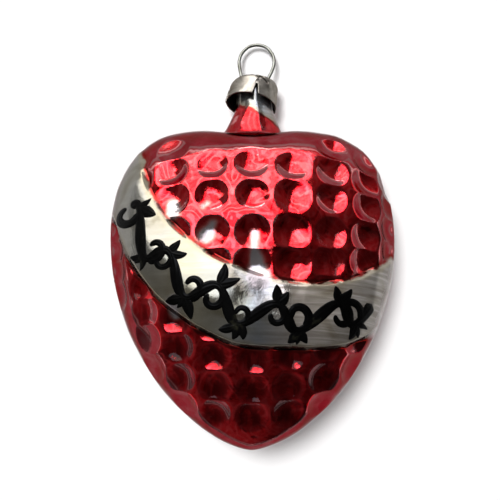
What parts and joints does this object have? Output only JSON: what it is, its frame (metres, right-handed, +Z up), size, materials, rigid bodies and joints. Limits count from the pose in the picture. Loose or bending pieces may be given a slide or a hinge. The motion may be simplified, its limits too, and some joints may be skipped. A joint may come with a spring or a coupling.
{
  "type": "heart christmas ornament",
  "caption": "Hanging heart ornament: a dimpled moulded glass heart with a raised diagonal sash, a stamped tin neck cap and a spring wire hanger with a round eye.",
  "frame": {"origin": "inside top of the hanger's eye, where a hook carries the ornament", "axes": "+Z up along the neck as the ornament hangs, +X to the right seen from the front, -Y towards the viewer, the side with the sash"},
  "size_m": [0.06, 0.0329, 0.0904],
  "materials": {
    "lacquered_glass": "blown glass silvered inside and lacquered translucent red outside, with a bare silver sash and upper neck, high gloss",
    "cap_tin": "thin stamped tinplate, dull nickel grey, worn",
    "hanger_steel": "drawn spring steel wire, slightly tarnished",
    "sash_paint": "thick glossy black enamel, brushed by hand on the sash"
  },
  "bodies": {
    "hanger": {"hanger_wire": "hanger_steel"},
    "cap": {"neck_cap": "cap_tin"},
    "heart": {"glass_heart": "lacquered_glass"}
  },
  "joints": [
    {"name": "heart_pull_off", "type": "slide", "parent": "hanger", "child": "cap", "axis": [0, 0, -1], "range_m": [0, 0.014]},
    {"name": "heart_turn", "type": "hinge", "parent": "cap", "child": "heart", "pos_m": [-0.00106, -0.00174, -0.0117], "axis": [0, 0, 1], "continuous": true}
  ]
}
